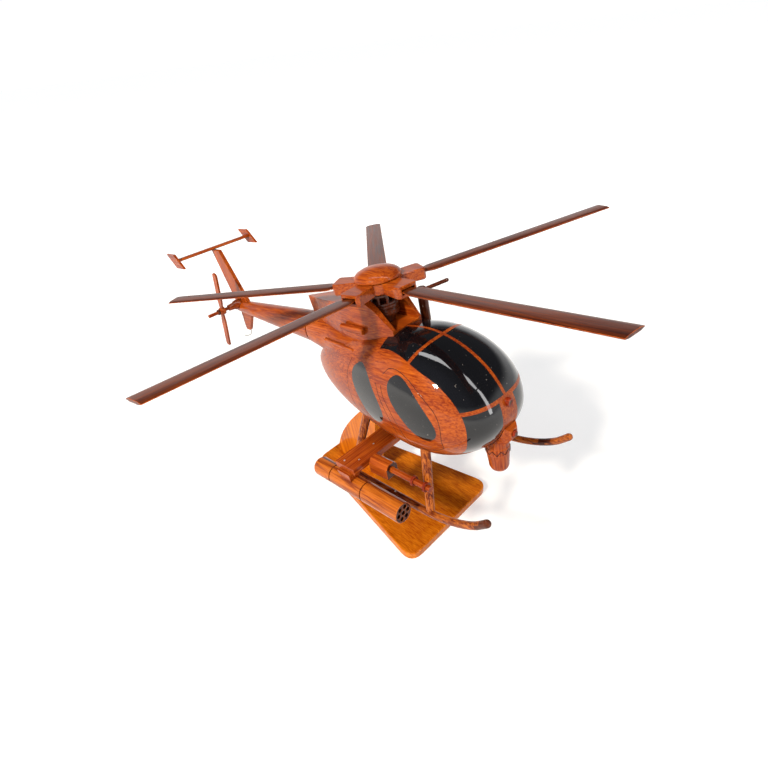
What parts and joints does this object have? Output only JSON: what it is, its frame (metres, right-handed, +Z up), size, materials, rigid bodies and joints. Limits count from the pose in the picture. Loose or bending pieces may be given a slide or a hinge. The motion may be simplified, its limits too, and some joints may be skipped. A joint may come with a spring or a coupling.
{
  "type": "helicopter scale model",
  "caption": "Lacquered hardwood desk model of a light scout helicopter with skids, side stores, turning main and tail rotors, on a flat wooden display stand.",
  "frame": {"origin": "on the underside of the base board, straight below the centre of the main rotor hub", "axes": "+X towards the nose, +Y to port, +Z up, square to the board"},
  "size_m": [0.4825, 0.3809, 0.2635],
  "materials": {
    "redwood": "reddish-brown hardwood under clear gloss lacquer",
    "golden_wood": "golden-orange hardwood under clear gloss lacquer",
    "dark_wood": "dark stained turned hardwood, gloss",
    "steel": "bare steel screw and wire"
  },
  "bodies": {
    "airframe": {"base_board": "golden_wood", "stand_upright": "golden_wood", "stand_screw_1": "steel", "stand_screw_2": "steel", "fuselage_pod": "redwood", "belly_pin": "redwood", "engine_cowling": "redwood", "tail_boom": "redwood", "vertical_fin": "redwood", "ventral_fin": "redwood", "tail_bumper_wire": "steel", "stabilizer": "redwood", "end_plate_starboard": "redwood", "end_plate_port": "redwood", "tail_gear_housing": "redwood", "tail_rotor_shaft": "redwood", "tail_rotor_nut": "dark_wood", "rotor_mast": "dark_wood", "swashplate_drum": "dark_wood", "pitch_rod_cage": "dark_wood", "stores_plank": "redwood", "nose_lens": "redwood", "chin_sensor_box": "redwood", "chin_lens": "redwood", "sensor_turret": "redwood", "side_dowel": "redwood", "side_rod": "redwood", "upper_post": "dark_wood", "upper_post_rod": "dark_wood", "skid_tube_starboard": "redwood", "front_strut_starboard": "redwood", "rear_strut_starboard": "redwood", "rocket_pylon_starboard": "redwood", "rocket_pod_starboard": "redwood", "gun_body_starboard": "redwood", "gun_barrels_starboard": "redwood", "barrel_collar_rear_starboard": "dark_wood", "barrel_collar_front_starboard": "dark_wood", "skid_tube_port": "redwood", "front_strut_port": "redwood", "rear_strut_port": "redwood", "rocket_pylon_port": "redwood", "rocket_pod_port": "redwood", "gun_body_port": "redwood", "gun_barrels_port": "redwood", "barrel_collar_rear_port": "dark_wood", "barrel_collar_front_port": "dark_wood"},
    "main_rotor": {"rotor_hub": "redwood", "hub_dome_cap": "redwood", "main_blade_1": "redwood", "main_blade_2": "redwood", "main_blade_3": "redwood", "main_blade_4": "redwood", "main_blade_5": "redwood"},
    "tail_rotor": {"tail_rotor_hub": "redwood", "tail_rotor_blade_1": "redwood", "tail_rotor_blade_2": "redwood"}
  },
  "joints": [
    {"name": "main_rotor_spin", "type": "hinge", "parent": "airframe", "child": "main_rotor", "pos_m": [0, 0, 0.228], "axis": [-0.1392, 0, 0.9903], "continuous": true},
    {"name": "tail_rotor_spin", "type": "hinge", "parent": "airframe", "child": "tail_rotor", "pos_m": [-0.23587, -0.026, 0.14588], "axis": [0, -1, 0], "continuous": true}
  ]
}
